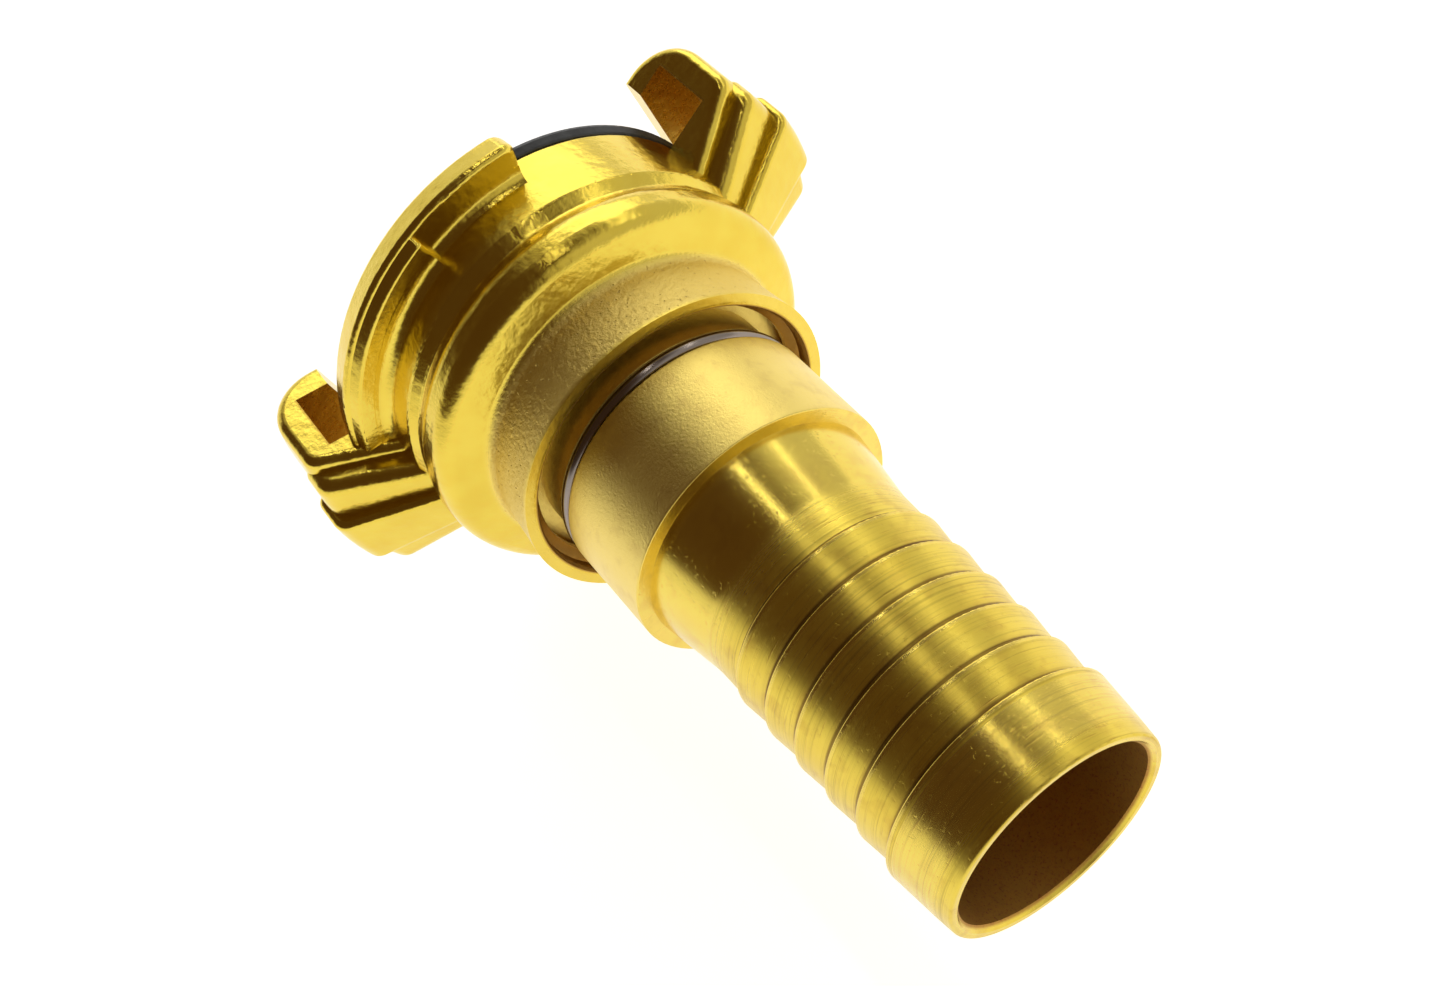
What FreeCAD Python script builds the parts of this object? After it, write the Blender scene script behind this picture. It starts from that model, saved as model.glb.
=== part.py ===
import FreeCAD, Part
import math
import os

# Claw coupling with a swivelling hose tail, 40 mm claw spacing, for 19 mm hose. Millimetres.
# The flow axis is X. The sealing face is at X = 0, the hose end points to +X and the two
# claws stand on +Y and -Y, reaching forward to -X. Z is up.

# Claw head, turned and forged outside
DRUM_R = 18.1            # front drum
DRUM_FRONT = 2.0         # set back behind the sealing face
DRUM_REAR = 8.6          # where the drum ends in a shallow valley
VALLEY_R = 17.45
VALLEY_X = 9.7
RIB_FRONT_X = 11.3       # crest of the rounded rib behind the drum, from here ...
RIB_REAR_X = 14.1        # ... to here
RIB_R = 18.1
NECK_R = 14.05           # flares gently from the rib's foot to the lip
NECK_X = 15.9            # foot of the rib on the neck
LIP_X = 21.7             # open rear end of the head
LIP_R = 14.65
# Claw head, bored inside
SEAL_SEAT_R = 16.6
SEAL_SEAT_X = 8.2
PASSAGE_R = 8.5          # clear way through every piece
SPIGOT_BORE_R = 10.5
SPIGOT_BORE_X = 9.2
RECESS_R = 13.35         # rear recess that takes the washer and the tail's collar
RECESS_X = 15.2
BEAD_X = 19.8            # middle of the rolled bead that keeps the collar in the recess
BEAD_R = 12.6
BEAD_HALF = 0.3          # half its flat crest
BEAD_SLOPE = 0.5

# Claws and ramp flanges: two of each, half a turn apart
ROOT_R = 16.9            # claws and flanges start this deep in the drum
CLAW_HALF = 20.0         # degrees each side of the claw's middle
CLAW_R = 25.7            # outside of the arm
CLAW_NOSE = 5.2          # rounding from the tip's front over to the arm
CLAW_EDGE = 0.9          # forged rounding along the arm's sides
CLAW_SHOULDER = 1.8      # rounding from the outside over to the sloping back
CLAW_SLOT_R = 23.0       # inside of the arm
CLAW_TIP_FLAT = 18.7     # the tip's flat inner end, from the axis
CLAW_FRONT = -7.0
CLAW_TIP_REAR = -4.2     # face that pulls on the other half's ramp
CLAW_SLOT_REAR = 2.4
CLAW_BACK_X = 3.2        # the arm's back slopes from here, outside ...
CLAW_BACK_ROOT_X = 7.2   # ... to here, at the root
PAD_HALF = 16.8          # raised pad on the claw's back
PAD_R = 25.95
PAD_FRONT_X = 1.4
PAD_BACK_X = 5.1
PAD_BACK_ROOT_X = 9.9
PAD_NOSE = 1.0
PAD_EDGE = 1.2
SPINE_HALF = 7.2         # spine down the middle of the pad
SPINE_R = 26.6
SPINE_BACK_X = 6.1
SPINE_BACK_ROOT_X = 10.9
SPINE_NOSE = 1.2
SPINE_EDGE = 0.6
FLANGE_R = 21.6
FLANGE_FRONT_R = 21.0    # the outside tapers towards the front
FLANGE_FRONT = 1.4
FLANGE_START = 72.0      # degrees from +Y, free end of the flange
FLANGE_STEP = 102.0      # the ramp becomes thicker here
FLANGE_END = 165.0       # runs into the next claw
FLANGE_THIN_X = 4.3
FLANGE_THICK_X = 5.3
FLANGE_FOOT = 1.0        # hollow rounding between a flange's back and the drum

# Hose tail, turned in one piece
TAIL_X = 67.7
TAIL_END_R = 9.5
LAND_X = 61.6            # first barb edge, head side of the plain end
LAND_R = 10.15
BARB_R = 9.95
BARB_ROOT_R = 9.5
BARB_EDGES = [58.05, 54.5, 50.95, 47.4, 43.85]
BARB_BREAK = 0.12        # rounding that breaks each barb's sharp edge
STEM_R = 9.7
STEM_X = 40.2            # end of the turned zone, start of the flare
FLARE_R = 10.7
SHOULDER_X = 33.7        # the hose stops here
JOURNAL_R = 11.95
JOURNAL_X = 23.6         # head side of the journal
THROAT_R = 11.3          # turned down where it passes the head's bead and lip
RING_X = 22.75           # middle of the wire ring
RING_MEAN_R = 11.2
RING_WIRE_R = 0.68
RING_GROOVE_R = 10.45    # floor of the ring's groove
RING_GROOVE_FRONT = 21.95
RING_GAP = 6.0           # degrees between the wire's ends
RING_GAP_TURN = 262.0    # middle of the gap, from +Y towards +Z
COLLAR_R = 13.05
COLLAR_X = 18.6
COLLAR_FRONT_X = 16.4
SPIGOT_R = 10.44
SPIGOT_X = 9.5
ORING_GROOVE_R = 9.15
ORING_X = 12.4
ORING_WIRE_R = 0.62
ORING_GROOVE_HALF = 0.9

# Loose pieces
WASHER_THICK = 1.0
WASHER_INNER_R = 10.52
WASHER_OUTER_R = 13.05
SEAL_LIP_R = 18.4
SEAL_BORE_R = 10.5
SEAL_GAP = 0.06

AXIS = FreeCAD.Vector(1, 0, 0)
ORIGIN = FreeCAD.Vector(0, 0, 0)


def section_face(corners):
    """Closed section in the XY plane from (x, radius, rounding) corners, rounded where asked."""
    points = [FreeCAD.Vector(x, r, 0) for x, r, _ in corners]
    starts, ends, arcs = [], [], []
    for index, (_, _, rounding) in enumerate(corners):
        here = points[index]
        before = (points[index - 1] - here).normalize()
        after = (points[(index + 1) % len(points)] - here).normalize()
        half_angle = before.getAngle(after) / 2
        if rounding == 0:
            starts.append(here)
            ends.append(here)
            arcs.append(None)
            continue
        reach = rounding / math.tan(half_angle)
        centre = here + (before + after).normalize() * (rounding / math.sin(half_angle))
        middle = centre + (here - centre).normalize() * rounding
        starts.append(here + before * reach)
        ends.append(here + after * reach)
        arcs.append(middle)
    edges = []
    for index in range(len(points)):
        if arcs[index] is not None:
            edges.append(Part.Arc(starts[index], arcs[index], ends[index]).toShape())
        following = (index + 1) % len(points)
        if ends[index].distanceToPoint(starts[following]) > 1e-6:
            edges.append(Part.makeLine(ends[index], starts[following]))
    return Part.Face(Part.Wire(edges))


def turned(corners):
    """A full turn of a section about the flow axis."""
    return section_face(corners).revolve(ORIGIN, AXIS, 360)


def sector(corners, start, end):
    """A section swept about the flow axis from start to end, in degrees from +Y towards +Z."""
    face = section_face(corners)
    face.rotate(ORIGIN, AXIS, start)
    return face.revolve(ORIGIN, AXIS, end - start)


def side_edges(shape, angles):
    """Edges that lie in the flat end faces of a sector, but not down at its root."""
    chosen = []
    for edge in shape.Edges:
        middle = edge.valueAt((edge.FirstParameter + edge.LastParameter) / 2)
        turn = math.degrees(math.atan2(middle.z, middle.y)) % 360
        radius = math.hypot(middle.y, middle.z)
        at_side = any(abs((turn - angle + 180) % 360 - 180) < 0.2 for angle in angles)
        if at_side and radius > DRUM_R + 0.9:
            chosen.append(edge)
    return chosen


def softened(shape, angles, radius):
    """The sector with its side edges rounded, as a forging has them."""
    return shape.makeFillet(radius, side_edges(shape, angles))


def claw_block(front_x, outer_r, nose, back_x, back_root_x, half, edge):
    """A sector with a rounded nose and a sloping back, its side edges rounded."""
    block = sector([
        (front_x, ROOT_R, 0),
        (front_x, outer_r, nose),
        (back_x, outer_r, CLAW_SHOULDER),
        (back_root_x, ROOT_R, 0),
    ], -half, half)
    return softened(block, (-half, half), edge)


def claw_arm():
    """The C-shaped arm, with the slot for the other half's ramp and the tip's flat inner end."""
    arm = claw_block(
        CLAW_FRONT, CLAW_R, CLAW_NOSE, CLAW_BACK_X, CLAW_BACK_ROOT_X, CLAW_HALF, CLAW_EDGE)
    slot_length = CLAW_SLOT_REAR - CLAW_TIP_REAR
    slot_start = FreeCAD.Vector(CLAW_TIP_REAR, 0, 0)
    arm = arm.cut(Part.makeCylinder(CLAW_SLOT_R, slot_length, slot_start, AXIS))
    trim_start = FreeCAD.Vector(2 * CLAW_FRONT, 0, -CLAW_R)
    trim_length = CLAW_TIP_REAR - 2 * CLAW_FRONT
    return arm.cut(Part.makeBox(trim_length, CLAW_TIP_FLAT, 2 * CLAW_R, trim_start))


def claw():
    """One claw on +Y: the arm, with a raised pad and a spine on its back."""
    pad = claw_block(
        PAD_FRONT_X, PAD_R, PAD_NOSE, PAD_BACK_X, PAD_BACK_ROOT_X, PAD_HALF, PAD_EDGE)
    spine = claw_block(
        PAD_FRONT_X, SPINE_R, SPINE_NOSE, SPINE_BACK_X, SPINE_BACK_ROOT_X, SPINE_HALF, SPINE_EDGE)
    slot_rear = Part.makeCylinder(CLAW_SLOT_R, CLAW_SLOT_REAR, ORIGIN, AXIS)
    return claw_arm().fuse(pad.cut(slot_rear)).fuse(spine.cut(slot_rear))


def flange_foot(back_x, start):
    """The hollow rounding from a flange's back down to the drum."""
    return sector([
        (back_x - 0.5, ROOT_R, 0),
        (back_x - 0.5, DRUM_R + 1.3 * FLANGE_FOOT, 0),
        (back_x + 0.08, DRUM_R + 1.3 * FLANGE_FOOT, 0),
        (back_x + 0.12, DRUM_R - 0.02, FLANGE_FOOT),
        (back_x + 1.3 * FLANGE_FOOT, DRUM_R - 0.02, 0),
        (back_x + 1.3 * FLANGE_FOOT, ROOT_R, 0),
    ], start, FLANGE_END)


def ramp_flange():
    """One ramp flange: thin where the other claw enters, then stepped up to the thick ramp."""
    thin = sector([
        (FLANGE_FRONT, ROOT_R, 0),
        (FLANGE_FRONT, FLANGE_FRONT_R, 0.6),
        (FLANGE_THIN_X, FLANGE_R, 0.5),
        (FLANGE_THIN_X + 0.1, ROOT_R, 0),
    ], FLANGE_START, FLANGE_END)
    thick = sector([
        (FLANGE_FRONT + 1, ROOT_R, 0),
        (FLANGE_FRONT + 1, FLANGE_R - 0.7, 0),
        (FLANGE_THIN_X - 0.4, FLANGE_R - 0.3, 0),
        (FLANGE_THICK_X - 0.1, FLANGE_R - 0.9, 0.4),
        (FLANGE_THICK_X + 0.1, ROOT_R, 0),
    ], FLANGE_STEP, FLANGE_END)
    flange = softened(thin, (FLANGE_START,), 1.2).fuse(softened(thick, (FLANGE_STEP,), 0.5))
    flange = flange.fuse(flange_foot(FLANGE_THIN_X, FLANGE_START + 1))
    return flange.fuse(flange_foot(FLANGE_THICK_X, FLANGE_STEP + 1))


def head_body():
    """The head's turned outside, with its rounded rib, neck and flared lip."""
    return turned([
        (DRUM_FRONT, PASSAGE_R, 0),
        (DRUM_FRONT, DRUM_R, 0.4),
        (DRUM_REAR, DRUM_R, 0.6),
        (VALLEY_X, VALLEY_R, 0.6),
        (RIB_FRONT_X, RIB_R, 2.0),
        (RIB_REAR_X, RIB_R, 1.8),
        (NECK_X - 0.5, NECK_R, 1.0),
        (LIP_X, LIP_R, 0),
        (LIP_X, PASSAGE_R, 0),
    ])


def head_hollow():
    """Everything bored out of the head: seal seat, passage, spigot bore and rear recess."""
    seat = Part.makeCylinder(SEAL_SEAT_R, SEAL_SEAT_X, ORIGIN, AXIS)
    passage = Part.makeCylinder(PASSAGE_R, LIP_X, ORIGIN, AXIS)
    spigot_bore = Part.makeCylinder(
        SPIGOT_BORE_R, LIP_X - SPIGOT_BORE_X, FreeCAD.Vector(SPIGOT_BORE_X, 0, 0), AXIS)
    recess = turned([
        (RECESS_X, 0, 0),
        (RECESS_X, RECESS_R, 0),
        (BEAD_X - BEAD_HALF - BEAD_SLOPE, RECESS_R, 0),
        (BEAD_X - BEAD_HALF, BEAD_R, 0),
        (BEAD_X + BEAD_HALF, BEAD_R, 0),
        (BEAD_X + BEAD_HALF + BEAD_SLOPE, RECESS_R, 0),
        (LIP_X - 0.25, RECESS_R, 0),
        (LIP_X, RECESS_R + 0.2, 0),
        (LIP_X + 1, RECESS_R + 0.2, 0),
        (LIP_X + 1, 0, 0),
    ])
    return [seat, passage, spigot_bore, recess]


def claw_head():
    """The head in one piece: turned body, two claws, two ramp flanges, bored through."""
    body = head_body()
    for half_turn in (0, 180):
        for feature in (claw(), ramp_flange()):
            feature.rotate(ORIGIN, AXIS, half_turn)
            body = body.fuse(feature)
    for hollow in head_hollow():
        body = body.cut(hollow)
    return body.removeSplitter()


def hose_tail():
    """The turned tail: spigot, collar, throat, ring groove, journal, barbs and plain end."""
    corners = [
        (SPIGOT_X, PASSAGE_R, 0),
        (SPIGOT_X, SPIGOT_R, 0.3),
        (ORING_X - ORING_GROOVE_HALF, SPIGOT_R, 0),
        (ORING_X - ORING_GROOVE_HALF, ORING_GROOVE_R, 0),
        (ORING_X + ORING_GROOVE_HALF, ORING_GROOVE_R, 0),
        (ORING_X + ORING_GROOVE_HALF, SPIGOT_R, 0),
        (COLLAR_FRONT_X, SPIGOT_R, 0),
        (COLLAR_FRONT_X, COLLAR_R, 0.2),
        (COLLAR_X, COLLAR_R, 0.2),
        (COLLAR_X, THROAT_R, 0),
        (RING_GROOVE_FRONT, THROAT_R, 0.1),
        (RING_GROOVE_FRONT, RING_GROOVE_R, 0),
        (JOURNAL_X, RING_GROOVE_R, 0),
        (JOURNAL_X, JOURNAL_R, 0.25),
        (SHOULDER_X, JOURNAL_R, 0.12),
        (SHOULDER_X, FLARE_R, 0),
        (STEM_X, STEM_R, 9),
        (BARB_EDGES[-1], STEM_R - 0.1, 0),
    ]
    for edge in reversed(BARB_EDGES):
        corners.append((edge, BARB_R, BARB_BREAK))
        following = edge + BARB_EDGES[0] - BARB_EDGES[1]
        corners.append((following, BARB_ROOT_R, 0))
    corners[-1] = (LAND_X, BARB_ROOT_R, 0)
    corners += [
        (LAND_X, LAND_R, BARB_BREAK),
        (TAIL_X - 2.0, TAIL_END_R + 0.25, 0),
        (TAIL_X, TAIL_END_R, 0.25),
        (TAIL_X, PASSAGE_R + 0.4, 0),
        (TAIL_X - 0.4, PASSAGE_R, 0),
    ]
    return turned(corners)


def face_seal():
    """Moulded rubber seal: a body held in the seat and a lip that stands proud of the drum."""
    return turned([
        (SEAL_SEAT_X - SEAL_GAP, SEAL_BORE_R + 1.2, 0.4),
        (SEAL_SEAT_X - SEAL_GAP, SEAL_SEAT_R - SEAL_GAP, 0.3),
        (DRUM_FRONT - SEAL_GAP, SEAL_SEAT_R - SEAL_GAP, 0),
        (DRUM_FRONT - SEAL_GAP, SEAL_LIP_R - 0.3, 0.2),
        (1.0, SEAL_LIP_R, 0.4),
        (0.0, SEAL_LIP_R - 0.9, 0.5),
        (0.0, SEAL_BORE_R + 2.6, 0.8),
        (1.6, SEAL_BORE_R, 0.6),
    ])


def spigot_oring():
    """The O-ring in the spigot's groove, just clear of the groove's floor."""
    mean = ORING_GROOVE_R + ORING_WIRE_R + 0.03
    return Part.makeTorus(mean, ORING_WIRE_R, FreeCAD.Vector(ORING_X, 0, 0), AXIS)


def thrust_washer():
    """Flat washer between the recess's floor and the tail's collar."""
    start = RECESS_X + SEAL_GAP
    return turned([
        (start, WASHER_INNER_R, 0),
        (start, WASHER_OUTER_R, 0.2),
        (start + WASHER_THICK, WASHER_OUTER_R, 0.2),
        (start + WASHER_THICK, WASHER_INNER_R, 0),
    ])


def wire_ring():
    """Round-wire ring, open at a narrow gap, sprung into the tail's groove by the journal."""
    centre = FreeCAD.Vector(RING_X, RING_MEAN_R, 0)
    wire = Part.makeCircle(RING_WIRE_R, centre, FreeCAD.Vector(0, 0, 1))
    face = Part.Face(Part.Wire([wire]))
    face.rotate(ORIGIN, AXIS, RING_GAP_TURN + RING_GAP / 2)
    return face.revolve(ORIGIN, AXIS, 360 - RING_GAP)


NODES = {
    "claw_head": claw_head,
    "face_seal": face_seal,
    "hose_tail": hose_tail,
    "spigot_oring": spigot_oring,
    "thrust_washer": thrust_washer,
    "wire_ring": wire_ring,
}

os.makedirs("parts", exist_ok=True)
for name, make in NODES.items():
    shape = make()
    shape.exportStep("parts/" + name + ".step")
    print(name, shape.isValid(), len(shape.Solids), round(shape.Volume, 1), shape.BoundBox)
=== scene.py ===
import math

import bpy
from mathutils import Matrix, Vector


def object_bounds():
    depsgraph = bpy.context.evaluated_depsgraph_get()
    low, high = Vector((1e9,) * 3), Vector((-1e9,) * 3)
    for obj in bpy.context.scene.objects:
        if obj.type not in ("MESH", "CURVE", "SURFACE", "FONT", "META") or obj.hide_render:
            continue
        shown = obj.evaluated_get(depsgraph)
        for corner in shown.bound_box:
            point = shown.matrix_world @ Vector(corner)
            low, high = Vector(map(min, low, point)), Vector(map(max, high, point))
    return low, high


# A claw coupling with a swivelling hose tail. The flow axis is X, the sealing face is at X = 0
# and the hose end points to +X. Blender works in metres; sizes here named *_MM are millimetres.

MM = 0.001
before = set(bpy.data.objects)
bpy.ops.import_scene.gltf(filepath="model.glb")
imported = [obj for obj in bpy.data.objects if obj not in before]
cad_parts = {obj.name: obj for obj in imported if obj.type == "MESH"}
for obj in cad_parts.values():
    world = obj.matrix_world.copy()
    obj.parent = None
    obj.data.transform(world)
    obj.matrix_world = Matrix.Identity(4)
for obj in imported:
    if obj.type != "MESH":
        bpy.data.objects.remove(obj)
cad_low, cad_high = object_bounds()

# ---------------------------------------------------------------- camera, floor and light

AIM_MM = (28.764, -0.202, 0.834)  # what the camera looks at, just beside the flow axis
CAMERA_TURN = 87.536              # azimuth of the camera, degrees
CAMERA_RISE = 55.768              # elevation of the camera, degrees
CAMERA_ROLL = 40.876              # how far the camera is rolled, degrees
CAMERA_AWAY_MM = 137.895
CAMERA_LENS = 42.94
SENSOR_WIDTH = 36
CLIP_START = 0.005                # metres

FLOOR_DROP_MM = 0.4               # the floor lies this far below the lowest point
FLOOR_SIZE = 6.0                  # metres
FLOOR_COLOUR = (0.80, 0.80, 0.79, 1)
FLOOR_GLOW = 0.86
CEILING_COLOUR = (0.085, 0.046, 0.022, 1)
WALL_COLOUR = (1.0, 0.99, 0.97, 1)
SIDE_LEVEL = 0.66                 # the wall on the lamps' side, against 1 on the other
FRONT_LEVEL = 0.9                 # the wall in front of the sealing face, which reaches higher

# Where the walls start and are full, as the x, y or z of a direction out of the coupling
LAMP_SIDE_Y = (-0.05, 0.30)
FAR_WALL_TOP_Z = (0.30, 0.14)
LAMP_WALL_TOP_Z = (0.90, 0.62)
FRONT_WALL_X = (-0.80, -0.90)
FRONT_WALL_TOP_Z = (0.52, 0.40)

# name: direction to its middle (x, y, z), distance, width, height, brightness of its face
SOFT_LAMPS = {
    "window_softbox": ((-0.74, 0.54, 0.41), 0.75, 0.44, 0.40, 1.35),
    "upper_strip": ((-0.14, 0.32, 0.94), 0.75, 0.70, 0.020, 8.5),
    "side_strip": ((-0.14, 0.80, 0.58), 0.75, 0.70, 0.016, 6.5),
}


def direction(turn, rise):
    """Unit vector at an azimuth measured from -Y towards +X, and an elevation."""
    turn, rise = math.radians(turn), math.radians(rise)
    return Vector((math.sin(turn) * math.cos(rise), -math.cos(turn) * math.cos(rise), math.sin(rise)))


def place_camera():
    """The camera, turned and raised about the point it looks at, then rolled."""
    back = direction(CAMERA_TURN, CAMERA_RISE)
    level = Vector((0, 0, 1)).cross(back).normalized()
    upright = back.cross(level)
    roll = math.radians(CAMERA_ROLL)
    up = upright * math.cos(roll) + level * math.sin(roll)
    right = up.cross(back)
    place = Matrix((right, up, back)).transposed().to_4x4()
    place.translation = Vector(AIM_MM) * MM + back * CAMERA_AWAY_MM * MM
    data = bpy.data.cameras.new("camera")
    data.lens = CAMERA_LENS
    data.sensor_width = SENSOR_WIDTH
    data.clip_start = CLIP_START
    camera = bpy.data.objects.new("camera", data)
    camera.matrix_world = place
    bpy.context.scene.collection.objects.link(camera)
    bpy.context.scene.camera = camera


def place_lamp(name, towards, away, width, height, level):
    """A rectangular soft lamp that faces the coupling. A strip's width runs along the flow axis,
    and any other lamp's width is level."""
    towards = Vector(towards).normalized()
    if "strip" in name:
        across = (Vector((1, 0, 0)) - towards * towards.x).normalized()
    else:
        across = Vector((0, 0, 1)).cross(towards).normalized()
    data = bpy.data.lights.new(name, "AREA")
    data.shape = "RECTANGLE"
    data.size, data.size_y = width, height
    data.energy = level * math.pi * width * height
    lamp = bpy.data.objects.new(name, data)
    place = Matrix((across, towards.cross(across), towards)).transposed().to_4x4()
    place.translation = Vector(AIM_MM) * MM + towards * away
    lamp.matrix_world = place
    bpy.context.scene.collection.objects.link(lamp)


# ---------------------------------------------------------------- finishes

class Value:
    """A value that varies over a surface. Arithmetic on it adds Math nodes."""

    def __init__(self, nodes, socket):
        self.nodes = nodes
        self.socket = socket

    def maths(self, operation, *others):
        inputs = dict(enumerate((self,) + others))
        return self.nodes.node("ShaderNodeMath", {"operation": operation}, inputs)

    def __add__(self, other):
        return self.maths("ADD", other)

    __radd__ = __add__

    def __mul__(self, other):
        return self.maths("MULTIPLY", other)

    __rmul__ = __mul__

    def __sub__(self, other):
        return self.maths("SUBTRACT", other)

    def __rsub__(self, other):
        return self.maths("MULTIPLY", -1.0) + other

    def __truediv__(self, other):
        return self.maths("DIVIDE", other)

    def __pow__(self, other):
        return self.maths("POWER", other)

    def between(self, low, high):
        """0 below low, 1 above high, smooth in between; low may be the larger."""
        inputs = {"Value": self, "From Min": low, "From Max": high}
        return self.nodes.node("ShaderNodeMapRange", {"interpolation_type": "SMOOTHSTEP"}, inputs)

    def band(self, middle, half, soft):
        """1 within half of middle, falling to 0 over soft."""
        return (self - middle).maths("ABSOLUTE").between(half + soft, half)


class Nodes:
    """Makes nodes in one tree."""

    def __init__(self, tree):
        self.tree = tree

    def node(self, kind, settings, inputs, output=0):
        """Any node: settings first, then its inputs as values or links. Returns one output."""
        node = self.tree.nodes.new(kind)
        for name, value in settings.items():
            setattr(node, name, value)
        for name, value in inputs.items():
            if isinstance(value, Value):
                self.tree.links.new(value.socket, node.inputs[name])
            else:
                node.inputs[name].default_value = value
        return Value(self, node.outputs[output])

    def mix(self, amount, first, second):
        """Colour that goes from first to second."""
        return self.node("ShaderNodeMix", {"data_type": "RGBA"}, {0: amount, 6: first, 7: second}, 2)

    def split(self, vector):
        """The x, y and z of a vector."""
        return [self.node("ShaderNodeSeparateXYZ", {}, {0: vector}, i) for i in range(3)]


class Finish(Nodes):
    """A material with a Principled surface and the nodes that drive it."""

    def __init__(self, name, **surface):
        self.material = bpy.data.materials.new(name)
        self.material.use_nodes = True
        super().__init__(self.material.node_tree)
        self.surface = self.tree.nodes["Principled BSDF"]
        for socket, value in surface.items():
            self.surface.inputs[socket.replace("_", " ")].default_value = value

    def point(self):
        """Place on the piece in millimetres."""
        place = self.node("ShaderNodeTexCoord", {}, {}, "Object")
        return self.node("ShaderNodeVectorMath", {"operation": "SCALE"}, {0: place, "Scale": 1 / MM})

    def axes(self, point):
        """Along the flow axis, distance from it, and turn about it in degrees from +Y to +Z."""
        x, y, z = self.split(point)
        radius = (y * y + z * z) ** 0.5
        turn = z.maths("ARCTAN2", y) * math.degrees(1)
        return x, radius, turn

    def vector(self, x, y, z):
        return self.node("ShaderNodeCombineXYZ", {}, {0: x, 1: y, 2: z})

    def noise(self, point, scale, detail, rough=0.5):
        """Cloudy noise, 0 to 1; the larger the scale, the finer it is."""
        inputs = {"Vector": point, "Scale": scale, "Detail": detail, "Roughness": rough}
        return self.node("ShaderNodeTexNoise", {}, inputs, "Fac")

    def lathe_noise(self, x, turn, along, around, seed, detail, rough=0.5):
        """Noise drawn out round the piece: along is its scale in x, around its scale in degrees."""
        return self.noise(self.vector(x * along, turn * around, seed), 1.0, detail, rough)

    def bump(self, height, depth_mm):
        inputs = {"Height": height, "Distance": depth_mm * MM}
        return self.node("ShaderNodeBump", {}, inputs, "Normal")

    def drive(self, **links):
        """Links values to the surface's sockets and returns the finished material."""
        for socket, value in links.items():
            self.tree.links.new(value.socket, self.surface.inputs[socket.replace("_", " ")])
        return self.material


BRASS_BRIGHT = (0.79, 0.60, 0.085, 1)
BRASS_WARM = (0.72, 0.515, 0.06, 1)
# brown: real stain and dirt, and also painted shade in the claw slots and at the barb roots
BRASS_STAIN_AND_SHADE = (0.36, 0.15, 0.03, 1)
BRASS_PALE = (0.86, 0.67, 0.19, 1)
BRASS_RECESS_SHADE = (0.34, 0.16, 0.035, 1)      # painted shade inside the rear recess
BRASS_BORE = (0.40, 0.155, 0.05, 1)
BRASS_GRIME_AND_SHADOW = (0.13, 0.065, 0.015, 1)     # grime in the turning marks, and painted shadow in the barb creases
RUBBER_BLACK = (0.012, 0.013, 0.013, 1)
RUBBER_BLOOM = (0.035, 0.037, 0.036, 1)
WIRE_DARK = (0.20, 0.165, 0.14, 1)
WIRE_WORN = (0.34, 0.29, 0.25, 1)
ACETAL_DULL = (0.70, 0.69, 0.65, 1)
ACETAL_WHITE = (0.80, 0.79, 0.76, 1)

# Places on the pieces in millimetres: X along the flow axis, R from it. Two numbers are where a
# mask starts and where it is full. Three are the middle of a band, half its width and its soft edge.
NECK_X = (18.5, 2.6, 0.8)
NECK_OUTSIDE_R = (13.7, 13.9)
LIP_RIM_X = (21.35, 21.6)
CLAW_COSINE = (0.72, 0.76)                # of twice the turn: within about 21 degrees of a claw
CLAW_SLOT_R = (20.6, 2.3, 0.4)
CLAW_SLOT_X = (-0.9, 3.25, 0.15)
RECESS_R = (13.75, 13.55)
RECESS_X = (15.0, 15.3)
JOURNAL_X = (34.0, 33.4)
TAIL_OUTSIDE_R = (9.0, 9.2)
TURNED_ZONE_X = (39.8, 40.4)
TOOTHED_X = (52.9, 9.3, 0.1)
BARB_CREST_R = (9.6, 9.75)
BORE_R = (8.75, 8.55)

# Barb edges along the tail, and places between two edges as parts of their distance
BARB_FIRST_X = 43.85
BARB_PITCH = 3.55
EDGE_PART = (0.045, 0.035, 0.03)
ROOT_PART = (0.72, 1.0)
CREASE_PART = (0.84, 0.90)

TUMBLED_DEPTH_MM = 0.13                   # how deep the bumps of each finish are
TURNED_DEPTH_MM = 0.016
RUBBER_DEPTH_MM = 0.02
WIRE_DEPTH_MM = 0.01
ACETAL_DEPTH_MM = 0.015


def tumbled_brass():
    """Forged brass, tumbled bright: soft dimples, a stained pitted neck, and painted shade in the
    claw slots and the rear recess.
    """
    finish = Finish("tumbled_brass", Metallic=1.0)
    point = finish.point()
    x, radius, turn = finish.axes(point)
    cloud = finish.noise(point, 0.28, 4)
    swell = finish.noise(point, 0.75, 2)
    fine = finish.noise(point, 2.2, 5, 0.62)
    pits = finish.noise(point, 3.0, 2).between(0.64, 0.78)

    neck = x.band(*NECK_X) * radius.between(*NECK_OUTSIDE_R)
    lip = x.between(*LIP_RIM_X)
    at_claw = (turn * math.radians(2)).maths("COSINE").between(*CLAW_COSINE)
    # painted shade in the slots behind the claws
    slot = radius.band(*CLAW_SLOT_R) * x.band(*CLAW_SLOT_X) * at_claw
    # painted shade inside the rear recess
    recess = radius.between(*RECESS_R) * x.between(*RECESS_X)

    colour = finish.mix(cloud.between(0.3, 0.7) * 0.6, BRASS_BRIGHT, BRASS_WARM)
    colour = finish.mix(neck, colour, BRASS_PALE)
    # painted shade in the claw slots; real stain in the neck's pits
    colour = finish.mix(slot * 0.75 + pits * neck * 0.4, colour, BRASS_STAIN_AND_SHADE)
    # painted shade inside the rear recess
    colour = finish.mix(recess * 0.85, colour, BRASS_RECESS_SHADE)
    rough = 0.13 + fine * 0.12 + neck * 0.30 + recess * 0.18 + lip * 0.08 + slot * 0.12
    height = swell * 0.45 + cloud * 0.3 + fine * (0.15 + neck) - pits * neck * 0.9
    return finish.drive(
        Base_Color=colour, Roughness=rough, Normal=finish.bump(height, TUMBLED_DEPTH_MM))


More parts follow.
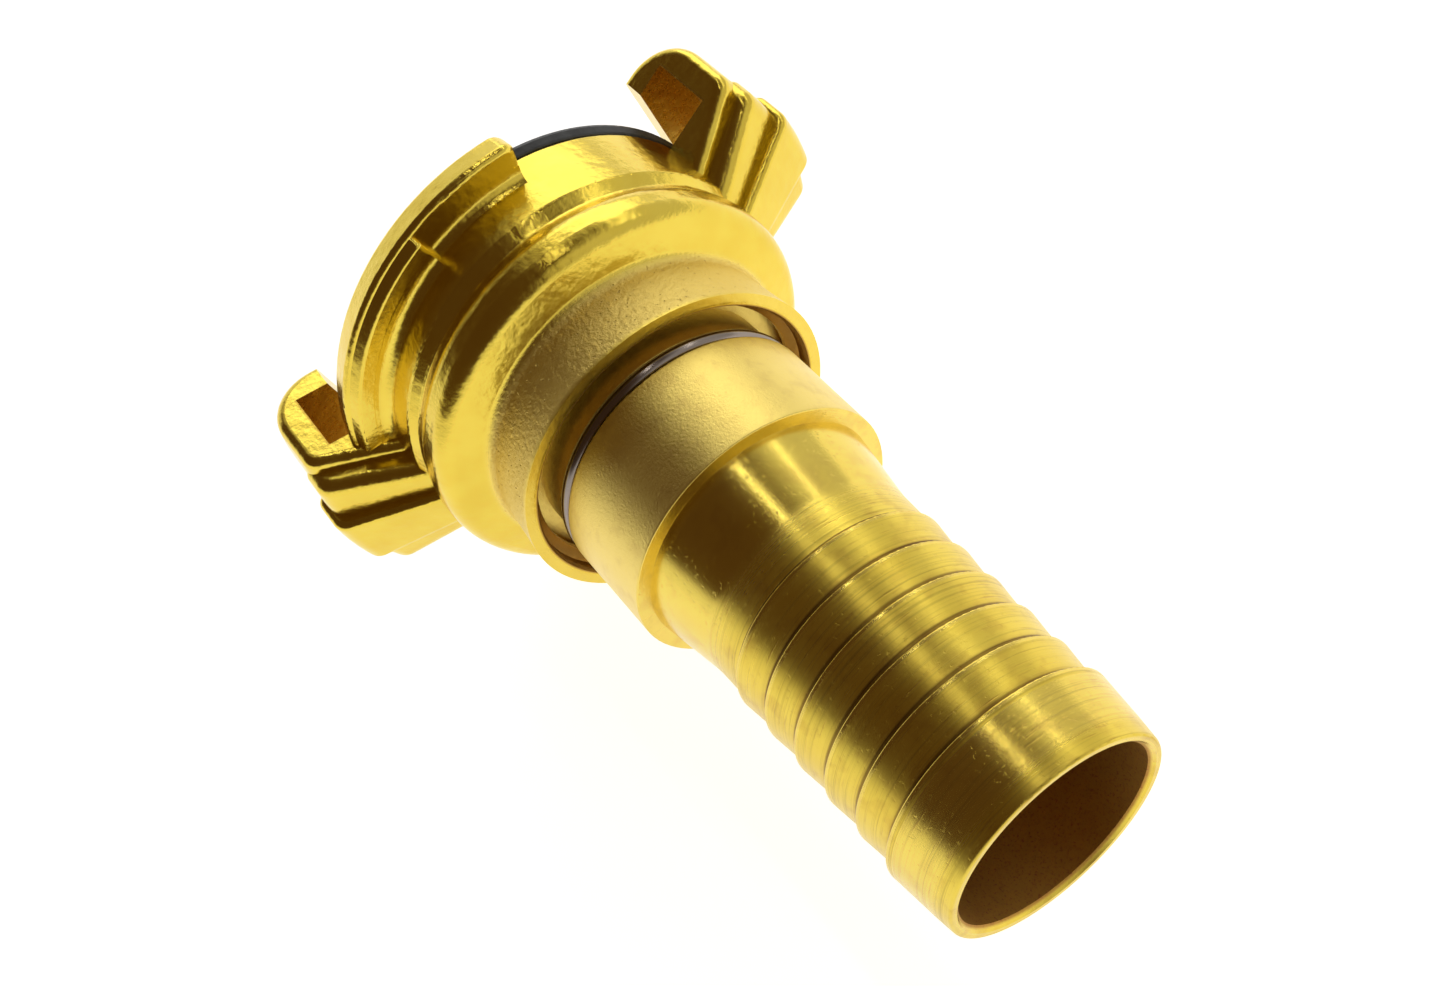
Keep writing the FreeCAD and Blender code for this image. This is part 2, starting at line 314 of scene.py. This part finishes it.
def turned_brass():
    """Lathe-turned brass: fine rings, a satin journal, painted shadow in the barb creases and painted
    shade at their roots, a painted highlight on the barb edges, a brown bore.
    """
    finish = Finish("turned_brass", Metallic=1.0)
    point = finish.point()
    x, radius, turn = finish.axes(point)
    rings = finish.lathe_noise(x, turn, 4.2, 0.004, 0.0, 4, 0.8)
    coarse = finish.lathe_noise(x, turn, 1.6, 0.010, 3.0, 2)
    streaks = finish.lathe_noise(x, turn, 5.0, 0.05, 7.0, 3).between(0.58, 0.75)
    cut_lines = rings.between(0.50, 0.66)
    cloud = finish.noise(point, 0.22, 3)
    smudge = finish.noise(point, 0.55, 3).between(0.50, 0.70)
    marks = finish.noise(point, 2.6, 4, 0.6).between(0.60, 0.70)
    grain = finish.noise(point, 4.5, 4, 0.65)
    speckle = finish.noise(point, 5.0, 3, 0.7).between(0.50, 0.70)

    journal = x.between(*JOURNAL_X)
    bore = radius.between(*BORE_R)
    outside = radius.between(*TAIL_OUTSIDE_R)
    barbs = x.between(*TURNED_ZONE_X) * outside
    toothed = x.band(*TOOTHED_X) * outside
    past_edge = ((x - BARB_FIRST_X) / BARB_PITCH).maths("FRACT") * toothed
    # away from the barbs past_edge stays 0, which gives the crests there a weaker pale band of wear
    # and painted highlight
    # pale band just past each barb edge: burnished wear and a painted highlight line
    worn_edge_and_highlight = past_edge.band(*EDGE_PART) * radius.between(*BARB_CREST_R)
    # painted shade at the root of each barb, before the next edge
    root_shade = past_edge.between(*ROOT_PART)
    # painted shadow line in the crease at each barb's step
    crease_shadow = past_edge.between(*CREASE_PART)

    # real marks, streaks and smudges, plus painted shade at the barb roots
    dirt_and_root_shade = marks * 0.12 + streaks * barbs * 0.40 + root_shade * 0.30 + smudge * 0.20
    colour = finish.mix(cloud.between(0.35, 0.7) * 0.5, BRASS_BRIGHT, BRASS_WARM)
    colour = finish.mix(journal * 0.75, colour, BRASS_PALE)
    colour = finish.mix(dirt_and_root_shade, colour, BRASS_STAIN_AND_SHADE)
    # painted shadow in the barb creases; real grime in the turning marks
    colour = finish.mix(crease_shadow * 0.70 + cut_lines * barbs * 0.32, colour, BRASS_GRIME_AND_SHADOW)
    # painted highlight and burnished wear at the barb edges
    colour = finish.mix(worn_edge_and_highlight * 0.35, colour, BRASS_PALE)
    colour = finish.mix(bore * (0.65 + speckle * 0.35), colour, BRASS_BORE)
    rough = 0.20 + rings * 0.12 + coarse * barbs * 0.08 + journal * 0.14
    rough = rough + root_shade * 0.06 + bore * 0.30 - worn_edge_and_highlight * 0.08
    height = rings * (0.12 + barbs) + coarse * barbs * 0.5 - streaks * barbs * 0.5
    height = height - marks * 0.4 + grain * (0.30 + journal * 1.9)
    return finish.drive(
        Base_Color=colour, Roughness=rough, Normal=finish.bump(height, TURNED_DEPTH_MM))


def black_rubber(name, base_roughness):
    """Moulded nitrile rubber: near black, satin, with a slight bloom."""
    finish = Finish(name, Specular_IOR_Level=0.5)
    point = finish.point()
    bloom = finish.noise(point, 0.8, 4)
    grain = finish.noise(point, 6.0, 3)
    colour = finish.mix(bloom.between(0.35, 0.75), RUBBER_BLACK, RUBBER_BLOOM)
    rough = base_roughness + bloom * 0.18
    return finish.drive(
        Base_Color=colour, Roughness=rough, Normal=finish.bump(grain, RUBBER_DEPTH_MM))


def spring_steel():
    """Dark, oil-blackened drawn wire, glossy, with faint drawing lines."""
    finish = Finish("spring_steel", Metallic=1.0)
    point = finish.point()
    x, radius, turn = finish.axes(point)
    lines = finish.noise(finish.vector(x * 6.0, radius * 6.0, turn * 0.02), 1.0, 3)
    colour = finish.mix(lines, WIRE_DARK, WIRE_WORN)
    rough = 0.12 + lines * 0.14
    return finish.drive(
        Base_Color=colour, Roughness=rough, Normal=finish.bump(lines, WIRE_DEPTH_MM))


def washer_plastic():
    """White acetal: slightly glossy, faintly mottled."""
    finish = Finish("washer_plastic")
    point = finish.point()
    cloud = finish.noise(point, 0.9, 3)
    grain = finish.noise(point, 4.0, 3)
    colour = finish.mix(cloud, ACETAL_DULL, ACETAL_WHITE)
    rough = 0.35 + grain * 0.15
    return finish.drive(
        Base_Color=colour, Roughness=rough, Normal=finish.bump(grain, ACETAL_DEPTH_MM))


def pale_floor():
    """Matt pale sheet that glows a little, so that it reads as near white."""
    finish = Finish("pale_floor", Base_Color=FLOOR_COLOUR, Roughness=0.9, Specular_IOR_Level=0.1,
                    Emission_Strength=FLOOR_GLOW, Emission_Color=(1, 1, 0.99, 1))
    return finish.material


# ---------------------------------------------------------------- studio

def lay_floor():
    """A wide pale sheet just below the coupling."""
    low = cad_low.z - FLOOR_DROP_MM * MM
    half = FLOOR_SIZE / 2
    corners = [(-half, -half, low), (half, -half, low), (half, half, low), (-half, half, low)]
    mesh = bpy.data.meshes.new("floor")
    mesh.from_pydata(corners, [], [(0, 1, 2, 3)])
    mesh.materials.append(pale_floor())
    floor = bpy.data.objects.new("floor", mesh)
    bpy.context.scene.collection.objects.link(floor)


def paint_walls():
    """Pale walls under a dim, warm ceiling; the walls' height and brightness differ by side."""
    world = bpy.data.worlds.new("studio")
    bpy.context.scene.world = world
    world.use_nodes = True
    room = Nodes(world.node_tree)
    x, y, z = room.split(room.node("ShaderNodeTexCoord", {}, {}, "Generated"))
    lamp_side = y.between(*LAMP_SIDE_Y)
    far_wall = (1 - lamp_side) * z.between(*FAR_WALL_TOP_Z)
    lamp_wall = lamp_side * z.between(*LAMP_WALL_TOP_Z) * SIDE_LEVEL
    front_wall = x.between(*FRONT_WALL_X) * z.between(*FRONT_WALL_TOP_Z) * FRONT_LEVEL
    level = (far_wall + lamp_wall).maths("MAXIMUM", front_wall)
    colour = room.mix(level, CEILING_COLOUR, WALL_COLOUR)
    room.tree.links.new(colour.socket, room.tree.nodes["Background"].inputs["Color"])


def studio():
    """Floor, walls and three soft lamps."""
    lay_floor()
    paint_walls()
    for name, lamp in SOFT_LAMPS.items():
        place_lamp(name, *lamp)
    bpy.context.scene.view_settings.view_transform = "Standard"


# ---------------------------------------------------------------- put together

def give_finish(node, material):
    """One material for the whole of a piece."""
    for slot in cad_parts[node].material_slots:
        slot.material = material


place_camera()
studio()
give_finish("claw_head", tumbled_brass())
give_finish("hose_tail", turned_brass())
give_finish("face_seal", black_rubber("seal_rubber", 0.32))
give_finish("spigot_oring", black_rubber("oring_rubber", 0.28))
give_finish("thrust_washer", washer_plastic())
give_finish("wire_ring", spring_steel())
